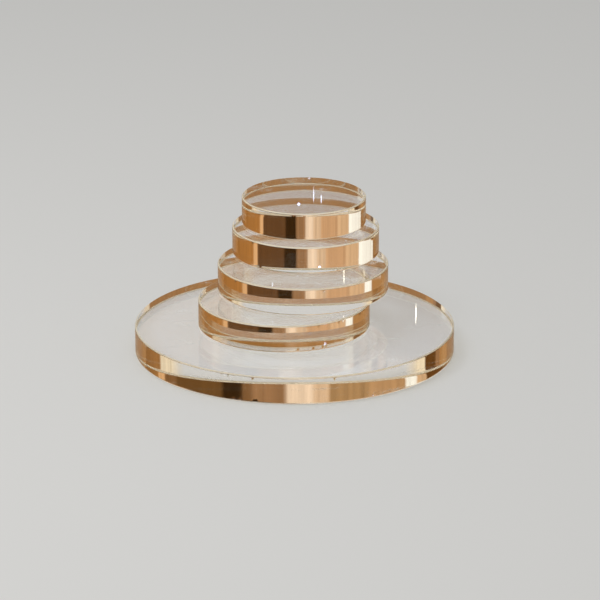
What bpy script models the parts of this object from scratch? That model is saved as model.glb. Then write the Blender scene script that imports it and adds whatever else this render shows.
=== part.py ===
"""Five loose round sight glasses, stacked off centre from the widest up to the narrowest.

Every glass is one flat, parallel-faced disc with a ground chamfer round both faces. The widest
glass rests on the bench. Each of the others rests on the glass below it and lifts straight up,
carrying whatever is stacked on it, so each is parented to the glass that it rests on.

Metres, +Z up. The origin is the centre of the widest glass's underside.
"""

import math

import bmesh
import bpy

# Driving dimensions
THICKNESS = 0.012
CHAMFER = 0.0005  # both legs, ground at 45 degrees
RESTING_GAP = 0.0003  # between two glasses that rest on each other
SIDES = 120  # flats round each edge

# From the bench up: name, diameter, and where the centre is in plan, +X right and +Y back
GLASSES = (
    ("base_disc", 0.140, (0.0, 0.0)),
    ("second_disc", 0.075, (-0.0046, -0.0024)),
    ("third_disc", 0.075, (0.0037, 0.0105)),
    ("fourth_disc", 0.065, (0.0049, 0.0252)),
    ("top_disc", 0.055, (0.0041, 0.0296)),
)

# Clear polished glass with a faint warm cast
GLASS_COLOUR = (0.93, 0.89, 0.82, 1.0)
GLASS_ROUGHNESS = 0.02
GLASS_METALLIC = 0.0
GLASS_IOR = 1.47
SHARP_ANGLE = math.radians(30)  # between the wall's flats, 3 degrees, and the chamfer, 45 degrees


def clear_scene():
    """Start from nothing, whatever the open file holds."""
    for obj in list(bpy.data.objects):
        bpy.data.objects.remove(obj, do_unlink=True)


def glass_material(name):
    """Polished clear glass for one disc."""
    material = bpy.data.materials.new(name)
    material.use_nodes = True
    shader = material.node_tree.nodes["Principled BSDF"]
    shader.inputs["Base Color"].default_value = GLASS_COLOUR
    shader.inputs["Roughness"].default_value = GLASS_ROUGHNESS
    shader.inputs["Metallic"].default_value = GLASS_METALLIC
    shader.inputs["IOR"].default_value = GLASS_IOR
    shader.inputs["Transmission Weight"].default_value = 1.0
    return material


def disc_mesh(name, diameter):
    """A round plate whose underside is centred on the origin, shaded smooth round its wall."""
    shape = bmesh.new()
    bmesh.ops.create_cone(
        shape,
        cap_ends=True,
        cap_tris=True,
        segments=SIDES,
        radius1=diameter / 2,
        radius2=diameter / 2,
        depth=THICKNESS,
    )
    bmesh.ops.translate(shape, verts=shape.verts, vec=(0.0, 0.0, THICKNESS / 2))
    mesh = bpy.data.meshes.new(name)
    shape.to_mesh(mesh)
    shape.free()
    mesh.shade_smooth()
    mesh.set_sharp_from_angle(angle=SHARP_ANGLE)
    return mesh


def grind_chamfers(disc):
    """Take the corner off the rim of both faces."""
    bevel = disc.modifiers.new("ground_chamfers", "BEVEL")
    bevel.width = CHAMFER
    bevel.segments = 1
    bevel.limit_method = "ANGLE"
    bevel.angle_limit = SHARP_ANGLE


def add_disc(name, diameter):
    """One glass as its own object, with its own material."""
    disc = bpy.data.objects.new(name, disc_mesh(name, diameter))
    bpy.context.scene.collection.objects.link(disc)
    disc.data.materials.append(glass_material(name + "_glass"))
    grind_chamfers(disc)
    return disc


def rest_on(disc, centre, below, centre_below):
    """Set a glass down on the one below, just clear of it, to be carried when that one lifts."""
    disc.parent = below
    disc.location.x = centre[0] - centre_below[0]
    disc.location.y = centre[1] - centre_below[1]
    disc.location.z = THICKNESS + RESTING_GAP


def build():
    """Stack the glasses from the bench up."""
    clear_scene()
    below = None
    centre_below = None
    for name, diameter, centre in GLASSES:
        disc = add_disc(name, diameter)
        if below is not None:
            rest_on(disc, centre, below, centre_below)
        below = disc
        centre_below = centre


build()
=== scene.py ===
"""Looks for a loose stack of round sight glasses: clear polished discs with ground chamfers.

Every glass is turned from a rounded profile, then given the slight unevenness of a hand-ground
edge. The colour in the glass comes from the room that it stands in, seen through its edges.
"""

import math
import random

import bmesh
import bpy
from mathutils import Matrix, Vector, noise


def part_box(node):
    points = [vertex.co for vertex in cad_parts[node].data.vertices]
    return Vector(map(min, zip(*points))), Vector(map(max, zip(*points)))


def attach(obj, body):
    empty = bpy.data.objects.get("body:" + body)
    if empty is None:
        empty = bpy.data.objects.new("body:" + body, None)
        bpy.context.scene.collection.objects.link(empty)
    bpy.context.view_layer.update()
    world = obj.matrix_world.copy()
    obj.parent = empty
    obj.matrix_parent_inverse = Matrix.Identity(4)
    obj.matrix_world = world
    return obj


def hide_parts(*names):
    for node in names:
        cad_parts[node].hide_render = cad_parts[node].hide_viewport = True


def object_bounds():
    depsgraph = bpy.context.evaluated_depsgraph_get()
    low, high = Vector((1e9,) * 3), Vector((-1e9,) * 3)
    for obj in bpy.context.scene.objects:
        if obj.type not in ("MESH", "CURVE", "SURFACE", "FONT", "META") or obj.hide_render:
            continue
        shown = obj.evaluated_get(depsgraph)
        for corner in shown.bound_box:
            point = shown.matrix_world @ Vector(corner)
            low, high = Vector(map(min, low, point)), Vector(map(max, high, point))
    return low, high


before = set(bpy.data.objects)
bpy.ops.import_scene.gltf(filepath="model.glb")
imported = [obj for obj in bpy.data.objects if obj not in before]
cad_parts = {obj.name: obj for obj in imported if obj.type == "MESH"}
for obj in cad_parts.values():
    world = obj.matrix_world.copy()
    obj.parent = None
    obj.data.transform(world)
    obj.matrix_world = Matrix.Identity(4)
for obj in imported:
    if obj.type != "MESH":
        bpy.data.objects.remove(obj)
CAD_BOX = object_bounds()

MM = 0.001

# The glasses: the CAD node that each one stands for, and its seed for wear
GLASSES = {
    "base_disc": 11,
    "second_disc": 23,
    "third_disc": 37,
    "fourth_disc": 41,
    "top_disc": 59,
}

# Shape of an edge
CHAMFER = 0.5 * MM
LIP = 0.09 * MM  # length of the tiny rounding at both edges of a chamfer
LIP_STEPS = 3
WALL_MARGIN = 3 * LIP  # from the wall's last plain ring to the chamfer
FACE_MARGIN = 2 * LIP  # from the rounding to the flat face's first ring
ARC_LENGTH = 0.45 * MM  # along the wall, between two columns of the mesh
WALL_RINGS = 8
FACE_RINGS = (0.15, 0.4, 0.65, 0.85, 0.97)  # shares of the flat face's radius
WAVE_HEIGHT = 0.004 * MM  # how far the wall strays from a true cylinder
WAVE_LENGTH = 9 * MM
CHIPS_PER_METRE = 55  # along each rim
CHIP_DEPTH = (0.05 * MM, 0.16 * MM)
CHIP_LENGTH = (0.5 * MM, 1.3 * MM)
CHIP_REACH = 1.6 * CHAMFER  # across and down, from the sharp corner that the chamfer took off
CHIP_GAIN = 2.4  # makes up for the chamfer's own distance from that corner
DIAGONAL = 0.7  # share of a 45 degree move that goes each way

# Places in a glass's list of materials
FACE, WALL, GROUND = range(3)

# Clear glass
GLASS_IOR = 1.5
FACE_TINT = (0.998, 0.998, 0.994)  # what light keeps as it passes
WALL_TINT = (0.985, 0.975, 0.945)
WALL_SHADE = (0.72, 0.7, 0.66)  # what a lamp's light keeps as it passes
WALL_SHEEN = (0.55, 0.42, 0.3)  # painted reflection: tint on what the polished wall mirrors outside, in place of the room in front of it
GLASS_BOUNCES = 40
CLEAR_BOUNCES = 24  # surfaces that a lamp's light may pass straight through

# Noise: nearly all of its values lie in the wide spread, and most of them in the other
SPREAD = (0.3, 0.7)
WIDE_SPREAD = (0.2, 0.8)

# Smudges and dust on the flat faces, with noise and cells counted per metre
SMUDGE_SCALE = 52
SMUDGE_OCTAVES = 4
SMUDGE_STRETCH = (1, 2.2, 1)
SMUDGE_FROM_TO = (0.62, 0.72)  # noise values over which a smudge comes in
WIPING_SCALE = 700
WIPING_STRETCH = (1, 0.3, 1)
WIPING_FROM_TO = (0.35, 0.65)
SMUDGE_MOST = (0.05, 0.42)  # how white the thickest smudge is, underneath and on top
TOP_FROM_TO = (-1 * MM, 1 * MM)  # heights over which the underside gives way to the top
DUST_SCALE = 260
DUST_CHOSEN = 0.93  # share of the cells that hold no speck
DUST_SIZE = 0.045  # as a share of a cell
DUST_COVER = 0.6
DUST_WHITE = (0.9, 0.9, 0.88)

# Polishing lines up the wall: noise scale, stretch upward, octaves, and the sway of the normal
FINE_LINES = (2600, 0.03, 2, 0.002)
BROAD_LINES = (420, 0.12, 1, 0.003)

# Ground chamfers
GROUND_SHADE = (0.4, 0.38, 0.35)
GROUND_TINT = (0.96, 0.93, 0.85)
GROUND_ROUGHNESS = 0.35
GROUND_GRAIN_SCALE = 9000
GROUND_BUMP = 0.6
GROUND_BUMP_DEPTH = 0.02 * MM
GROUND_PATCH_SCALE = 350
GROUND_CREAM = (0.96, 0.86, 0.66)
GROUND_PALE_CREAM = (0.98, 0.92, 0.78)
GROUND_LIT_INSIDE = 0.22  # share of the pale grain that is lit through the glass
GROUND_PALE_SHARE = (0.55, 0.85)  # of pale grain over frosted glass, from hollow to peak

# Colours in the room round the glasses, as they would be picked on a screen
BROWN = (150, 105, 60)
BRONZE = (176, 128, 78)
POST = (88, 54, 22)
WINDOW = (255, 250, 238)
PALE_TAN = (214, 174, 133)
TAN = (200, 155, 114)
DULL_TAN = (182, 140, 98)
SHADED_TAN = (168, 130, 88)
LIGHT_TAN = (215, 180, 145)
CREAM = (240, 210, 180)
PALE_CREAM = (232, 214, 184)
MID_BROWN = (150, 110, 75)
DEEP_BROWN = (122, 86, 53)
BLACK_BROWN = (34, 20, 6)
DARK_BROWN = (90, 60, 35)
SHADOW_BROWN = (100, 69, 36)
EDGE_LIGHT = (220, 170, 120)
WOOD = (165, 110, 55)
NEAR_SIDE = (160, 111, 60)  # all that the glass sees of the viewer's side of the room
CEILING = (222, 214, 202)

# The room's far side, as tiers of upright bands: where each band begins, in degrees to the right
# of straight ahead, and its colour
FIRST_TURN, LAST_TURN = -90.0, 90.0
BELOW = (
    (-90, BROWN),
    (-67.5, BRONZE),
    (-57.5, MID_BROWN),
    (-53, POST),
    (-44.5, PALE_CREAM),
    (47, BROWN),
)
LOW = (
    (-90, BROWN),
    (-59, WINDOW),
    (-36, PALE_TAN),
    (-24, TAN),
    (-11, LIGHT_TAN),
    (-6, CREAM),
    (-1, MID_BROWN),
    (5, BLACK_BROWN),
    (12, DARK_BROWN),
    (31, EDGE_LIGHT),
    (35, WOOD),
)
MIDDLE = ((-90, BRONZE), (-43.5, WINDOW), *LOW[2:])
HIGH = (
    (-90, BROWN),
    (-67, POST),
    (-46, PALE_TAN),
    (-39.5, WINDOW),
    (-33.7, DULL_TAN),
    (-20, SHADED_TAN),
    (-8.6, LIGHT_TAN),
    (-4.7, CREAM),
    (2, MID_BROWN),
    (10.7, DEEP_BROWN),
    (13.1, BLACK_BROWN),
    (19, SHADOW_BROWN),
    (37, DEEP_BROWN),
    (44, EDGE_LIGHT),
    (49, BROWN),
)
TIERS = ((0.0, LOW), (18.75, MIDDLE), (20.07, HIGH))  # elevation in degrees where each begins
TIER_SOFTNESS = 0.14  # degrees over which one tier fades into the next
BAND_SOFTNESS = 0.9  # degrees over which one band fades into the next
ROOM_STRENGTH = 1.12
GRAIN_STRETCH = (1, 1, 0.04)
LEVEL = (1, 1, 0)  # keeps only the level part of a direction
BROAD_GRAIN = (38, 3, 0.84, 1.12)  # noise scale and octaves, then the darkest and lightest share
FINE_GRAIN = (170, 2, 0.92, 1.07)
NEAR_SIDE_FROM_TO = (0.05, -0.15)  # cosines from straight ahead, over which it takes over
CEILING_FROM_TO = (32.0, 70.0)  # degrees of elevation over which the bands fade into it

# Studio
FLOOR_COLOUR = (0.74, 0.735, 0.72)
FLOOR_IN_GLASS = (0.84, 0.85, 0.875)  # painted light: the floor's colour lifted brighter and cooler where glass sees it at a shallow angle
FLOOR_RADIUS = 4.0
FLOOR_SIDES = 96
FLOOR_GAP = 0.3 * MM
FLOOR_HALF_WIDTH = (33, 40)  # degrees either side of straight ahead where glass loses sight of it
FLOOR_STEEP = (math.sin(math.radians(45)), math.sin(math.radians(60)))  # glass then sees it plain
BACKDROP = (0.4, 0.397, 0.389)  # what the camera sees past the floor's edge
DOME = (0.54, 0.54, 0.535)  # even light on matt things
MIRRORED = (0.2, 0.17, 0.13)  # what the outside of the glass mirrors, above the floor
KEY_PLACE = Vector((-0.55, -0.35, 1.15))
KEY_SIZE = 0.7
KEY_POWER = 6.0

# Small bright lights at the back of the room, which only the glass picks up: the turn and the
# elevation of each one's middle, its half width and half height, all in degrees, and its glow.
# The lamps glint on the flat faces too, the sparks only through the edges.
LIGHT_CORE = 0.35  # share of a light's size, by area, that shines in full
COOL_LIGHT = (3.4, 3.9, 6.0, 1.0)
WARM_LIGHT = (5.5, 5.1, 4.3, 1.0)
DIM_LIGHT = (2.2, 2.4, 3.1, 1.0)
LAMPS = (
    (-0.02, 17.58, 0.026, 0.026, COOL_LIGHT),
    (0.16, 17.16, 0.026, 0.016, DIM_LIGHT),
    (0.234, 17.42, 0.01, 0.15, DIM_LIGHT),
    (0.364, 17.5, 0.01, 0.085, DIM_LIGHT),
    (0.76, 18.75, 0.012, 0.16, WARM_LIGHT),
    (0.76, 19.5, 0.014, 0.12, WARM_LIGHT),
    (0.78, 20.15, 0.015, 0.13, WARM_LIGHT),
    (-0.04, 18.76, 0.012, 0.018, DIM_LIGHT),
    (-0.477, 18.9, 0.011, 0.055, DIM_LIGHT),
    (-0.477, 19.52, 0.011, 0.045, DIM_LIGHT),
    (2.01, 19.36, 0.012, 0.19, WARM_LIGHT),
)
SPARKS = (
    (-7.5, 18.62, 0.8, 0.03, COOL_LIGHT),
    (-21.0, 19.84, 1.0, 0.035, COOL_LIGHT),
    (-10.0, 19.7, 0.6, 0.022, COOL_LIGHT),
)

# Camera
CAMERA_AIM = Vector((2.4, 0.0, 22.4)) * MM
CAMERA_ELEVATION = math.radians(19.15)
CAMERA_DISTANCE = 1.534
CAMERA_LENS = 210  # millimetres, on Blender's usual 36 mm sensor
CAMERA_REACH = 20


def linear(colour):
    """A colour as picked on a screen, 0 to 255, as the linear light that Blender computes with.
    The numbers are those of the sRGB curve."""
    def channel(value):
        share = value / 255
        return share / 12.92 if share <= 0.04045 else ((share + 0.055) / 1.055) ** 2.4
    return tuple(channel(value) for value in colour) + (1.0,)


# ---------------------------------------------------------------- node helpers


def put(tree, kind, **settings):
    """Add a node and set its properties."""
    made = tree.nodes.new(kind)
    for name, value in settings.items():
        setattr(made, name, value)
    return made


def feed(tree, node, **values):
    """Set a node's inputs, each from a value or from another node's output. An input goes by its
    name, or as i0, i1 and so on by its number."""
    for name, value in values.items():
        key = int(name[1:]) if name[0] == "i" and name[1:].isdigit() else name.replace("_", " ")
        if isinstance(value, bpy.types.NodeSocket):
            tree.links.new(value, node.inputs[key])
        else:
            node.inputs[key].default_value = value
    return node


def maths(tree, operation, first, second=0.0):
    """A Math node's result."""
    made = put(tree, "ShaderNodeMath", operation=operation)
    return feed(tree, made, i0=first, i1=second).outputs[0]


def vector_maths(tree, operation, first, second=(0.0, 0.0, 0.0)):
    """A Vector Math node."""
    made = put(tree, "ShaderNodeVectorMath", operation=operation)
    return feed(tree, made, i0=first, i1=second)


def remap(tree, value, low, high, out_low=0.0, out_high=1.0):
    """Value taken from the range low to high into another one, and held inside it."""
    made = put(tree, "ShaderNodeMapRange")
    return feed(tree, made, i0=value, i1=low, i2=high, i3=out_low, i4=out_high).outputs[0]


def mix_colours(tree, share, first, second):
    """First at share 0, second at share 1."""
    made = put(tree, "ShaderNodeMix", data_type="RGBA")
    return feed(tree, made, i0=share, i6=first, i7=second).outputs[2]


def mix_shaders(tree, share, first, second):
    """First at share 0, second at share 1."""
    made = put(tree, "ShaderNodeMixShader")
    return feed(tree, made, i0=share, i1=first, i2=second).outputs[0]


def scaled(tree, vector, factors):
    """A vector stretched by a factor along each axis."""
    return vector_maths(tree, "MULTIPLY", vector, factors).outputs[0]


def times(tree, vector, factor):
    """A vector or a colour, all of it times one factor."""
    return feed(tree, vector_maths(tree, "SCALE", vector), Scale=factor).outputs[0]


def noise_at(tree, vector, scale, octaves=2):
    """Noise between about 0 and 1."""
    made = put(tree, "ShaderNodeTexNoise")
    return feed(tree, made, Vector=vector, Scale=scale, Detail=octaves).outputs["Fac"]


def turn_and_elevation(tree, direction):
    """A direction as degrees to the right of straight ahead, or of straight back if it points to
    the viewer's side, and as degrees above level."""
    parts = feed(tree, put(tree, "ShaderNodeSeparateXYZ"), Vector=direction).outputs
    turn = maths(tree, "ARCTAN2", parts["X"], maths(tree, "ABSOLUTE", parts["Y"]))
    elevation = maths(tree, "ARCSINE", parts["Z"])
    return maths(tree, "DEGREES", turn), maths(tree, "DEGREES", elevation)


# ---------------------------------------------------------------- the room


def room_group():
    """The room as a node group: for any direction, the colour that it shows there, and how far
    the direction runs ahead of the viewer, from 1 for straight ahead to -1 for straight back."""
    group = bpy.data.node_groups.new("room", "ShaderNodeTree")
    group.interface.new_socket("Direction", in_out="INPUT", socket_type="NodeSocketVector")
    group.interface.new_socket("Color", in_out="OUTPUT", socket_type="NodeSocketColor")
    group.interface.new_socket("Along", in_out="OUTPUT", socket_type="NodeSocketFloat")
    direction = put(group, "NodeGroupInput").outputs[0]

    turn, elevation = turn_and_elevation(group, direction)
    along = along_the_view(group, direction)
    near = remap(group, along, *NEAR_SIDE_FROM_TO)
    sides = mix_colours(group, near, far_side(group, turn, elevation), linear(NEAR_SIDE))
    grained = times(group, sides, room_grain(group, direction))
    overhead = remap(group, elevation, *CEILING_FROM_TO)
    colour = mix_colours(group, overhead, grained, linear(CEILING))
    bright = times(group, colour, ROOM_STRENGTH)
    feed(group, put(group, "NodeGroupOutput"), Color=bright, Along=along)
    return group


def far_side(tree, turn, elevation):
    """The colour of the bands on the far side of the room, below level and then tier upon tier."""
    across = remap(tree, turn, FIRST_TURN, LAST_TURN)
    colour = banded(tree, across, BELOW)
    for start, tier in TIERS:
        above = remap(tree, elevation, start - TIER_SOFTNESS / 2, start + TIER_SOFTNESS / 2)
        colour = mix_colours(tree, above, colour, banded(tree, across, tier))
    return colour


def along_the_view(tree, direction):
    """The cosine of a direction's turn from the way the camera looks, both taken level."""
    view = put(tree, "ShaderNodeVectorTransform", vector_type="VECTOR",
               convert_from="CAMERA", convert_to="WORLD")
    feed(tree, view, Vector=(0.0, 0.0, 1.0))
    ahead = vector_maths(tree, "NORMALIZE", scaled(tree, view.outputs[0], LEVEL))
    level = vector_maths(tree, "NORMALIZE", scaled(tree, direction, LEVEL))
    return vector_maths(tree, "DOT_PRODUCT", level.outputs[0], ahead.outputs[0]).outputs["Value"]


def room_grain(tree, direction):
    """How bright the room is along a direction, as noise drawn out upward."""
    drawn_out = scaled(tree, vector_maths(tree, "NORMALIZE", direction).outputs[0], GRAIN_STRETCH)
    broad, fine = (
        remap(tree, noise_at(tree, drawn_out, scale, octaves), *SPREAD, darkest, lightest)
        for scale, octaves, darkest, lightest in (BROAD_GRAIN, FINE_GRAIN)
    )
    return maths(tree, "MULTIPLY", broad, fine)


def banded(tree, across, bands):
    """The colour at a share of the way across the bands, each fading softly into the next."""
    span = LAST_TURN - FIRST_TURN
    half_fade = BAND_SOFTNESS / 2 / span
    stops = [(0.0, bands[0][1])]
    for (_, before), (start, after) in zip(bands, bands[1:]):
        place = (start - FIRST_TURN) / span
        stops.append((place - half_fade, before))
        stops.append((place + half_fade, after))
    node = feed(tree, put(tree, "ShaderNodeValToRGB"), Fac=across)
    ramp = node.color_ramp
    while len(ramp.elements) < len(stops):
        ramp.elements.new(1.0)
    for element, (place, colour) in zip(ramp.elements, stops):
        element.position = place
        element.color = linear(colour)
    return node.outputs["Color"]


def room_towards(tree, room, direction):
    """The room group's outputs for a direction, in any node tree."""
    made = put(tree, "ShaderNodeGroup", node_tree=room)
    return feed(tree, made, Direction=direction).outputs


# ---------------------------------------------------------------- glass materials


def new_material(name):
    """An empty node material, with its output node."""
    material = bpy.data.materials.new(name)
    material.use_nodes = True
    material.node_tree.nodes.clear()
    return material, put(material.node_tree, "ShaderNodeOutputMaterial")


def let_lamps_through(tree, shader, tint):
    """The shader as it is seen, but tinted and see-through for lamps, so no glass blocks them."""
    is_shadow = put(tree, "ShaderNodeLightPath").outputs["Is Shadow Ray"]
    clear = feed(tree, put(tree, "ShaderNodeBsdfTransparent"), Color=(*tint, 1.0))
    return mix_shaders(tree, is_shadow, shader, clear.outputs[0])


def face_material():
    """Polished flat face, with a few specks of dust and faint wiped smudges."""
    material, output = new_material("polished_face")
    tree = material.node_tree
    place = put(tree, "ShaderNodeTexCoord").outputs["Object"]
    glass = put(tree, "ShaderNodeBsdfGlass")
    feed(tree, glass, Color=(*FACE_TINT, 1.0), Roughness=0.0, IOR=GLASS_IOR)

    white = put(tree, "ShaderNodeBsdfDiffuse")
    feed(tree, white, Color=(*DUST_WHITE, 1.0))
    share = maths(tree, "ADD", smudges(tree, place), dust(tree, place))
    seen = mix_shaders(tree, share, glass.outputs[0], white.outputs[0])
    feed(tree, output, Surface=let_lamps_through(tree, seen, FACE_TINT))
    return material


def smudges(tree, place):
    """How much of the face a smudge covers: soft patches, streaked by wiping."""
    patches = noise_at(tree, scaled(tree, place, SMUDGE_STRETCH), SMUDGE_SCALE, SMUDGE_OCTAVES)
    streaks = noise_at(tree, scaled(tree, place, WIPING_STRETCH), WIPING_SCALE)
    patches = remap(tree, patches, *SMUDGE_FROM_TO)
    streaks = remap(tree, streaks, *WIPING_FROM_TO)
    height = feed(tree, put(tree, "ShaderNodeSeparateXYZ"), Vector=place).outputs["Z"]
    most = remap(tree, height, *TOP_FROM_TO, *SMUDGE_MOST)
    return maths(tree, "MULTIPLY", maths(tree, "MULTIPLY", patches, streaks), most)


def dust(tree, place):
    """How much of the face dust covers: a speck in the middle of some of the noise's cells."""
    cells = put(tree, "ShaderNodeTexVoronoi")
    feed(tree, cells, Vector=place, Scale=DUST_SCALE)
    shade = feed(tree, put(tree, "ShaderNodeSeparateColor"), Color=cells.outputs["Color"])
    chosen = maths(tree, "GREATER_THAN", shade.outputs[0], DUST_CHOSEN)
    near = maths(tree, "LESS_THAN", cells.outputs["Distance"], DUST_SIZE)
    return maths(tree, "MULTIPLY", maths(tree, "MULTIPLY", chosen, near), DUST_COVER)


def wall_material():
    """Polished edge: clear, its outer mirror tinted as a painted reflection of the room in front,
    and with faint polishing lines.
    """
    material, output = new_material("polished_edge")
    tree = material.node_tree
    place = put(tree, "ShaderNodeTexCoord").outputs["Object"]
    geometry = put(tree, "ShaderNodeNewGeometry").outputs
    normal = polishing_lines(tree, place, geometry["Normal"])

    inside = geometry["Backfacing"]
    # painted reflection: outside, the mirror is tinted with WALL_SHEEN; inside, it stays white
    sheen = mix_colours(tree, inside, (*WALL_SHEEN, 1.0), (1.0, 1.0, 1.0, 1.0))
    mirror = feed(tree, put(tree, "ShaderNodeBsdfAnisotropic"), Color=sheen, Roughness=0.0)
    feed(tree, mirror, Normal=normal)
    clear = put(tree, "ShaderNodeBsdfRefraction")
    feed(tree, clear, Color=(*WALL_TINT, 1.0), Roughness=0.0, IOR=GLASS_IOR, Normal=normal)
    share = feed(tree, put(tree, "ShaderNodeFresnel"), IOR=GLASS_IOR, Normal=normal)
    seen = mix_shaders(tree, share.outputs[0], clear.outputs[0], mirror.outputs[0])
    feed(tree, output, Surface=let_lamps_through(tree, seen, WALL_SHADE))
    return material


def polishing_lines(tree, place, normal):
    """The normal, swayed a little sideways by fine lines that run up the wall."""
    fine, broad = (
        remap(tree, noise_at(tree, scaled(tree, place, (1, 1, stretch)), scale, octaves),
              *WIDE_SPREAD, -most, most)
        for scale, stretch, octaves, most in (FINE_LINES, BROAD_LINES)
    )
    sideways = vector_maths(tree, "CROSS_PRODUCT", (0.0, 0.0, 1.0), normal).outputs[0]
    shift = times(tree, sideways, maths(tree, "ADD", fine, broad))
    swayed = vector_maths(tree, "ADD", normal, shift).outputs[0]
    return vector_maths(tree, "NORMALIZE", swayed).outputs[0]


def ground_material():
    """Satin ground chamfer: part frosted glass, part fine pale grain lit from both sides."""
    material, output = new_material("ground_chamfer")
    tree = material.node_tree
    place = put(tree, "ShaderNodeTexCoord").outputs["Object"]
    grain = noise_at(tree, place, GROUND_GRAIN_SCALE)
    bump = put(tree, "ShaderNodeBump")
    feed(tree, bump, Strength=GROUND_BUMP, Distance=GROUND_BUMP_DEPTH, Height=grain)

    frosted = put(tree, "ShaderNodeBsdfGlass")
    feed(tree, frosted, Color=(*GROUND_TINT, 1.0), Roughness=GROUND_ROUGHNESS, IOR=GLASS_IOR)
    feed(tree, frosted, Normal=bump.outputs[0])
    patchy = remap(tree, noise_at(tree, place, GROUND_PATCH_SCALE), *SPREAD)
    cream = mix_colours(tree, patchy, (*GROUND_CREAM, 1.0), (*GROUND_PALE_CREAM, 1.0))
    lit_outside = feed(tree, put(tree, "ShaderNodeBsdfDiffuse"), Color=cream)
    feed(tree, lit_outside, Normal=bump.outputs[0])
    lit_inside = feed(tree, put(tree, "ShaderNodeBsdfTranslucent"), Color=cream)
    pale = mix_shaders(tree, GROUND_LIT_INSIDE, lit_outside.outputs[0], lit_inside.outputs[0])
    share = remap(tree, grain, *SPREAD, *GROUND_PALE_SHARE)
    seen = mix_shaders(tree, share, frosted.outputs[0], pale)
    feed(tree, output, Surface=let_lamps_through(tree, seen, GROUND_SHADE))
    return material


# ---------------------------------------------------------------- glass shapes


def rounded_corner(before, corner, after):
    """Points of a small rounding at a corner of the profile, from one leg to the other."""
    corner = Vector(corner)
    start = corner + (Vector(before) - corner).normalized() * LIP
    end = corner + (Vector(after) - corner).normalized() * LIP
    points = []
    for step in range(LIP_STEPS + 1):
        share = step / LIP_STEPS
        first = start.lerp(corner, share)
        points.append(first.lerp(corner.lerp(end, share), share))
    return points


def half_profile(radius, half_height):
    """From the middle of the wall up and in to the rim of the flat face, as (radius, height) and
    the finish of the strip that ends there."""
    wall_top = (radius, half_height - CHAMFER)
    face_rim = (radius - CHAMFER, half_height)
    points = []
    for ring in range(WALL_RINGS // 2 + 1):
        share = ring / (WALL_RINGS // 2)
        points.append((Vector((radius, (half_height - CHAMFER - WALL_MARGIN) * share)), WALL))
    for point in rounded_corner((radius, 0.0), wall_top, face_rim):
        points.append((point, WALL))
    for point in rounded_corner(wall_top, face_rim, (0.0, half_height)):
        points.append((point, GROUND))
    flat = radius - CHAMFER - LIP
    points.append((Vector((flat - FACE_MARGIN, half_height)), FACE))
    for share in reversed(FACE_RINGS):
        points.append((Vector((flat * share, half_height)), FACE))
    return points


def full_profile(radius, half_height):
    """From the underside's innermost ring, round the wall, to the upper face's innermost ring.
    Each strip's finish is named by the ring further from the middle of the wall."""
    upper = half_profile(radius, half_height)
    lower = [(Vector((point.x, -point.y)), finish) for point, finish in reversed(upper[1:])]
    rings = [point for point, _ in lower] + [point for point, _ in upper]
    strips = [finish for _, finish in lower] + [finish for _, finish in upper[1:]]
    return rings, strips


def chips_for(radius, dice):
    """Small chips round one rim: angle, half width as an angle, and depth."""
    count = round(2 * math.pi * radius * CHIPS_PER_METRE)
    return [
        (
            dice.uniform(-math.pi, math.pi),
            dice.uniform(*CHIP_LENGTH) / 2 / radius,
            dice.uniform(*CHIP_DEPTH),
        )
        for _ in range(count)
    ]


def chip_depth(chips, angle):
    """How deep the rim is chipped at an angle."""
    depth = 0.0
    for middle, half_width, deepest in chips:
        away = abs((angle - middle + math.pi) % (2 * math.pi) - math.pi)
        if away < half_width:
            depth = max(depth, deepest * math.cos(away / half_width * math.pi / 2) ** 2)
    return depth


def glass_mesh(name, radius, half_height, seed):
    """A disc turned from its profile, with an uneven wall and a few chips round both rims."""
    dice = random.Random(seed)
    rims = {1: chips_for(radius, dice), -1: chips_for(radius, dice)}
    rings, strips = full_profile(radius, half_height)
    columns = round(2 * math.pi * radius / ARC_LENGTH)
    shape = bmesh.new()
    grid = []
    for column in range(columns):
        angle = 2 * math.pi * column / columns
        outward = Vector((math.cos(angle), math.sin(angle), 0.0))
        depths = {side: chip_depth(chips, angle) for side, chips in rims.items()}
        grid.append([ring_point(shape, point, outward, radius, half_height, depths, seed)
                     for point in rings])
    for column in range(columns):
        here, there = grid[column], grid[(column + 1) % columns]
        for level, finish in enumerate(strips):
            face = shape.faces.new((here[level], there[level], there[level + 1], here[level + 1]))
            face.material_index = finish
            face.smooth = finish != FACE
    close_face(shape, [column[0] for column in reversed(grid)], -half_height)
    close_face(shape, [column[-1] for column in grid], half_height)
    mesh = bpy.data.meshes.new(name)
    shape.to_mesh(mesh)
    shape.free()
    return mesh


def ring_point(shape, point, outward, radius, half_height, depths, seed):
    """One vertex of the turned disc, moved by the wall's waves and by any chip in its rim."""
    along, height = point.x, point.y
    place = outward * along + Vector((0.0, 0.0, height))
    outer_share = max(0.0, (along - (radius - CHAMFER)) / CHAMFER)
    wave = noise.noise(place / WAVE_LENGTH + Vector((seed, 0.0, 0.0))) * WAVE_HEIGHT
    place += outward * wave * outer_share
    side = 1 if height > 0 else -1
    to_corner = abs(radius - along) + abs(half_height - abs(height))
    if to_corner < CHIP_REACH and depths[side] > 0:
        cut = depths[side] * (1 - to_corner / CHIP_REACH) * CHIP_GAIN
        place += (-outward - Vector((0.0, 0.0, side))) * cut * DIAGONAL
    return shape.verts.new(place)


def close_face(shape, ring, height):
    """Fill the innermost ring of a flat face with a fan round its centre."""
    centre = shape.verts.new((0.0, 0.0, height))
    for first, second in zip(ring, ring[1:] + ring[:1]):
        face = shape.faces.new((first, second, centre))
        face.material_index = FACE


def make_glass(node, seed, materials):
    """The finished glass that stands for one CAD disc."""
    low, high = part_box(node)
    centre = (low + high) / 2
    size = high - low
    name = node.replace("disc", "glass")
    glass = bpy.data.objects.new(name, glass_mesh(name, size.x / 2, size.z / 2, seed))
    bpy.context.scene.collection.objects.link(glass)
    glass.location = centre
    for material in materials:
        glass.data.materials.append(material)
    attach(glass, node)
    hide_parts(node)


# ---------------------------------------------------------------- studio


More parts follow.
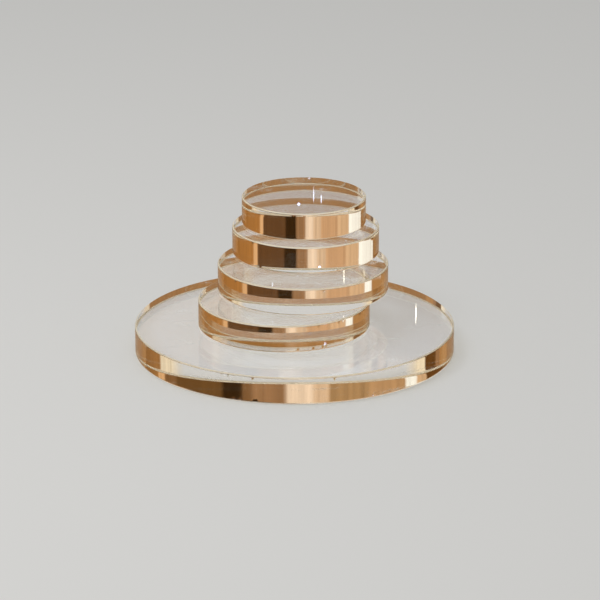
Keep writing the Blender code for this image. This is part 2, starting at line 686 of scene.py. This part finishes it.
def never(tree, kind):
    """1 for a ray that hasn't met this kind of bounce yet, 0 for any other."""
    depth = put(tree, "ShaderNodeLightPath").outputs[kind + " Depth"]
    return maths(tree, "LESS_THAN", depth, 0.5)


def seen_in_glass(tree):
    """1 for a ray that has come straight through or off the glass, 0 for any other."""
    path = put(tree, "ShaderNodeLightPath").outputs
    in_glass = maths(tree, "MAXIMUM", path["Is Glossy Ray"], path["Is Transmission Ray"])
    return maths(tree, "MULTIPLY", in_glass, never(tree, "Diffuse"))


def floor_material(room):
    """Plain matt paper. At a shallow angle, glass sees it painted a little brighter and cooler, and
    only ahead of the viewer: beside and behind, the paper glows with the room's lower half instead,
    a painted reflection as if the paper were narrow."""
    material, output = new_material("pale_floor")
    tree = material.node_tree
    incoming = put(tree, "ShaderNodeNewGeometry").outputs["Incoming"]
    drop = feed(tree, put(tree, "ShaderNodeSeparateXYZ"), Vector=incoming).outputs["Z"]
    shallow = remap(tree, drop, *FLOOR_STEEP, 1.0, 0.0)
    in_glass = maths(tree, "MULTIPLY", shallow, seen_in_glass(tree))
    # painted light: seen through glass at a shallow angle, the paper is lifted brighter and cooler
    pale = mix_colours(tree, in_glass, (*FLOOR_COLOUR, 1.0), (*FLOOR_IN_GLASS, 1.0))
    paper = feed(tree, put(tree, "ShaderNodeBsdfDiffuse"), Color=pale)

    beyond = room_towards(tree, room, scaled(tree, incoming, (-1, -1, -1)))
    near, far = (math.cos(math.radians(angle)) for angle in FLOOR_HALF_WIDTH)
    beside = remap(tree, beyond["Along"], far, near, 1.0, 0.0)
    # painted reflection: beside and behind, the paper glows with the room's colour where glass sees
    # it
    shown = feed(tree, put(tree, "ShaderNodeEmission"), Color=beyond["Color"])
    share = maths(tree, "MULTIPLY", beside, in_glass)
    seen = mix_shaders(tree, share, paper.outputs[0], shown.outputs[0])
    feed(tree, output, Surface=seen)
    return material


def make_floor(room):
    """A plain pale floor, just clear of the lowest glass."""
    shape = bmesh.new()
    bmesh.ops.create_circle(shape, cap_ends=True, segments=FLOOR_SIDES, radius=FLOOR_RADIUS)
    mesh = bpy.data.meshes.new("floor")
    shape.to_mesh(mesh)
    shape.free()
    floor = bpy.data.objects.new("floor", mesh)
    bpy.context.scene.collection.objects.link(floor)
    floor.location.z = CAD_BOX[0].z - FLOOR_GAP
    mesh.materials.append(floor_material(room))


def from_middle(tree, angle, middle, half_size):
    """The square of how far an angle is from the middle of a light, beside its half size."""
    away = maths(tree, "DIVIDE", maths(tree, "SUBTRACT", angle, middle), half_size)
    return maths(tree, "MULTIPLY", away, away)


def with_lights(tree, shown, angles, lights):
    """A colour of the room, with small lights laid over it."""
    turn, elevation = angles
    for middle_turn, middle_elevation, half_width, half_height, glow in lights:
        across = from_middle(tree, turn, middle_turn, half_width)
        along = from_middle(tree, elevation, middle_elevation, half_height)
        lit = remap(tree, maths(tree, "ADD", across, along), LIGHT_CORE, 1.0, 1.0, 0.0)
        shown = mix_colours(tree, lit, shown, glow)
    return shown


def make_world(room):
    """Even light for matt things, a plain backdrop for the camera, and the room for the glass."""
    world = bpy.data.worlds.new("studio")
    bpy.context.scene.world = world
    world.use_nodes = True
    world.cycles.sampling_method = "NONE"  # or light from the room would count twice in the glass
    tree = world.node_tree
    tree.nodes.clear()
    direction = put(tree, "ShaderNodeTexCoord").outputs["Generated"]
    angles = turn_and_elevation(tree, direction)
    shown = with_lights(tree, room_towards(tree, room, direction)["Color"], angles, SPARKS)
    shown = mix_colours(tree, never(tree, "Transmission"), shown, (*MIRRORED, 1.0))
    shown = with_lights(tree, shown, angles, LAMPS)
    direct = put(tree, "ShaderNodeLightPath").outputs["Is Camera Ray"]
    plain = mix_colours(tree, direct, (*DOME, 1.0), (*BACKDROP, 1.0))
    colour = mix_colours(tree, seen_in_glass(tree), plain, shown)
    background = feed(tree, put(tree, "ShaderNodeBackground"), Color=colour, Strength=1.0)
    feed(tree, put(tree, "ShaderNodeOutputWorld"), Surface=background.outputs[0])


def make_key_light():
    """One large soft lamp, high to the left, which shows neither in the glass nor to the camera."""
    lamp = bpy.data.lights.new("key", "AREA")
    lamp.shape = "DISK"
    lamp.size = KEY_SIZE
    lamp.energy = KEY_POWER
    light = bpy.data.objects.new("key", lamp)
    bpy.context.scene.collection.objects.link(light)
    light.location = KEY_PLACE
    light.rotation_euler = (-KEY_PLACE).to_track_quat("-Z", "Y").to_euler()
    light.visible_camera = False
    light.visible_glossy = False
    light.visible_transmission = False


def make_camera():
    """A long lens, a little above the stack."""
    camera = bpy.data.objects.new("camera", bpy.data.cameras.new("camera"))
    bpy.context.scene.collection.objects.link(camera)
    camera.data.lens = CAMERA_LENS
    camera.data.clip_end = CAMERA_REACH
    back = Vector((0.0, -math.cos(CAMERA_ELEVATION), math.sin(CAMERA_ELEVATION)))
    camera.location = CAMERA_AIM + back * CAMERA_DISTANCE
    camera.rotation_euler = (-back).to_track_quat("-Z", "Y").to_euler()
    bpy.context.scene.camera = camera


def set_light_paths():
    """Show colours unaltered, and let light find its way through five thick glasses, unblurred."""
    scene = bpy.context.scene
    scene.view_settings.view_transform = "Standard"
    scene.cycles.max_bounces = GLASS_BOUNCES
    scene.cycles.glossy_bounces = GLASS_BOUNCES
    scene.cycles.transmission_bounces = GLASS_BOUNCES
    scene.cycles.transparent_max_bounces = CLEAR_BOUNCES
    scene.cycles.blur_glossy = 0.0


room = room_group()
finishes = (face_material(), wall_material(), ground_material())
for node, seed in GLASSES.items():
    make_glass(node, seed, finishes)
make_floor(room)
make_world(room)
make_key_light()
make_camera()
set_light_paths()
